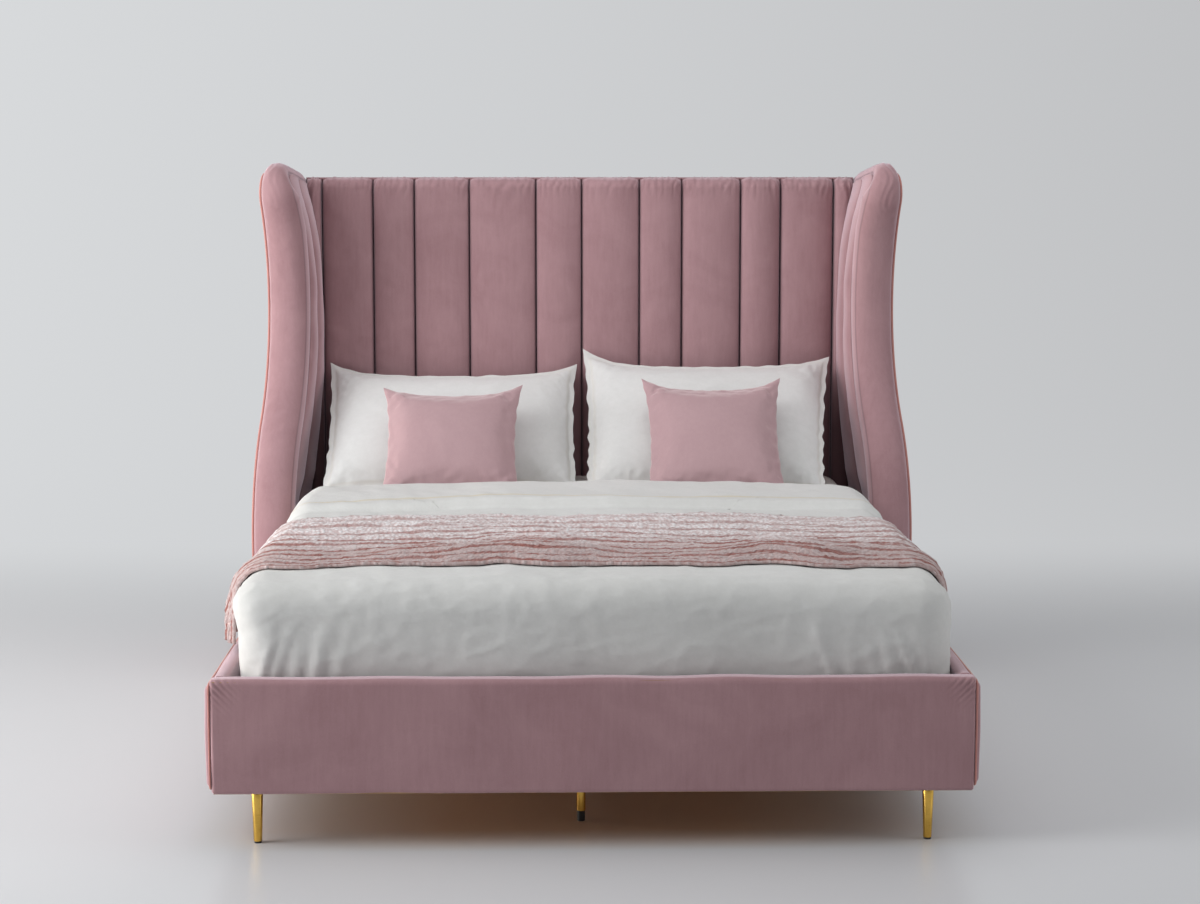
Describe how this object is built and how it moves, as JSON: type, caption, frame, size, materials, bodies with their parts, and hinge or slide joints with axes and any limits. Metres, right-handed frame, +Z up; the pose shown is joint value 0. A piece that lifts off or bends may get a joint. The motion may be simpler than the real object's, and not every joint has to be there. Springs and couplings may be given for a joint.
{
  "type": "wingback bed",
  "caption": "Upholstered wingback bed with a channelled headboard, flared wings, padded rails, sprung slats, mattress, bedding and slim metal legs.",
  "frame": {"origin": "floor level under the middle of the bed's length and width", "axes": "+X to the right seen from the foot, +Y from foot to headboard, +Z up"},
  "size_m": [1.8702, 2.2, 1.4461],
  "materials": {
    "velvet": "brushed pile",
    "piping": "satin weave",
    "timber": "sawn",
    "plywood": "sanded",
    "slat_birch": "sanded",
    "steel": "zinc plated",
    "gold_metal": "polished",
    "black_plastic": "moulded",
    "mattress_ticking": "woven",
    "duvet_cotton": "plain weave",
    "throw_knit": "chunky knit",
    "pillow_cotton": "plain weave",
    "cushion_velvet": "brushed pile"
  },
  "bodies": {
    "bed_frame": {"bracket_bolts": "steel", "centre_beam": "timber", "centre_beam_hangers": "steel", "centre_leg_front": "gold_metal", "centre_leg_middle": "gold_metal", "centre_leg_rear": "gold_metal", "corner_brackets": "steel", "footboard_core": "timber", "footboard_cover": "velvet", "headboard_back_panel": "velvet", "headboard_channel_pad": "velvet", "headboard_crossrails": "timber", "headboard_front_board": "plywood", "headboard_posts": "timber", "headboard_top_border": "velvet", "leg_blocks": "timber", "leg_front_left": "gold_metal", "leg_front_right": "gold_metal", "leg_glides": "black_plastic", "leg_plates": "steel", "leg_rear_left": "gold_metal", "leg_rear_right": "gold_metal", "side_rail_core_left": "timber", "side_rail_core_right": "timber", "side_rail_cover_left": "velvet", "side_rail_cover_right": "velvet", "side_rail_pad_left": "velvet", "side_rail_pad_right": "velvet", "side_rail_piping_left": "piping", "side_rail_piping_right": "piping", "slat_bearer_left": "timber", "slat_bearer_right": "timber", "slat_holders_centre": "black_plastic", "slat_holders_left": "black_plastic", "slat_holders_right": "black_plastic", "slats_left": "slat_birch", "slats_right": "slat_birch", "wing_board_left": "plywood", "wing_board_right": "plywood", "wing_bolts": "steel", "wing_front_roll_left": "velvet", "wing_front_roll_right": "velvet", "wing_inner_pad_left": "velvet", "wing_inner_pad_right": "velvet", "wing_outer_pad_left": "velvet", "wing_outer_pad_right": "velvet", "wing_piping_left": "piping", "wing_piping_right": "piping"},
    "mattress_and_bedding": {"mattress": "mattress_ticking", "duvet": "duvet_cotton", "throw": "throw_knit"},
    "pillow_left_body": {"pillow_left": "pillow_cotton"},
    "pillow_right_body": {"pillow_right": "pillow_cotton"},
    "cushion_left_body": {"cushion_left": "cushion_velvet"},
    "cushion_right_body": {"cushion_right": "cushion_velvet"},
    "levelling_foot_front_body": {"levelling_foot_front": "black_plastic"},
    "levelling_foot_middle_body": {"levelling_foot_middle": "black_plastic"},
    "levelling_foot_rear_body": {"levelling_foot_rear": "black_plastic"}
  },
  "joints": [
    {"name": "mattress_lift", "type": "slide", "parent": "bed_frame", "child": "mattress_and_bedding", "axis": [0, 0, 1], "range_m": [0, 0.3]},
    {"name": "pillow_left_lift", "type": "slide", "parent": "mattress_and_bedding", "child": "pillow_left_body", "axis": [0, 0, 1], "range_m": [0, 0.25]},
    {"name": "pillow_right_lift", "type": "slide", "parent": "mattress_and_bedding", "child": "pillow_right_body", "axis": [0, 0, 1], "range_m": [0, 0.25]},
    {"name": "cushion_left_lift", "type": "slide", "parent": "pillow_left_body", "child": "cushion_left_body", "axis": [0, 0, 1], "range_m": [0, 0.2]},
    {"name": "cushion_right_lift", "type": "slide", "parent": "pillow_right_body", "child": "cushion_right_body", "axis": [0, 0, 1], "range_m": [0, 0.2]},
    {"name": "levelling_foot_front_screw", "type": "slide", "parent": "bed_frame", "child": "levelling_foot_front_body", "axis": [0, 0, -1], "range_m": [0, 0.015]},
    {"name": "levelling_foot_middle_screw", "type": "slide", "parent": "bed_frame", "child": "levelling_foot_middle_body", "axis": [0, 0, -1], "range_m": [0, 0.015]},
    {"name": "levelling_foot_rear_screw", "type": "slide", "parent": "bed_frame", "child": "levelling_foot_rear_body", "axis": [0, 0, -1], "range_m": [0, 0.015]}
  ]
}
